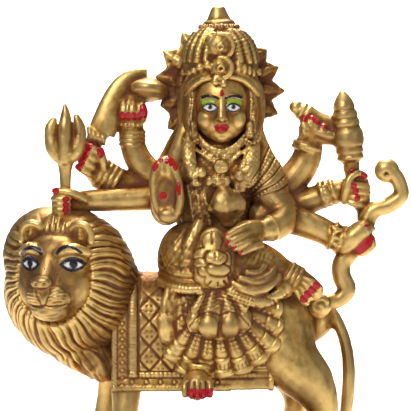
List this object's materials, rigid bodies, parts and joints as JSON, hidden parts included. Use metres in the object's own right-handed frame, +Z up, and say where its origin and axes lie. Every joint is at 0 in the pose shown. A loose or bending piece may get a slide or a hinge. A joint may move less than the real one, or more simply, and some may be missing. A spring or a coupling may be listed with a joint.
{
  "type": "brass goddess figure",
  "caption": "Cast brass figure of a many-armed goddess seated on a standing lion, holding a trident and other attributes, on a low stepped plinth.",
  "frame": {"origin": "centre of the plinth's underside", "axes": "+Z up, -Y the way the goddess faces, -X the way the lion walks"},
  "size_m": [0.1648, 0.0697, 0.1972],
  "materials": {
    "cast_brass": "aged polished brass, dark in the recesses, with red, black, white and green paint",
    "plinth_brass": "aged polished brass, plain"
  },
  "bodies": {
    "root": {"goddess_on_lion": "cast_brass", "plinth": "plinth_brass"}
  },
  "joints": []
}
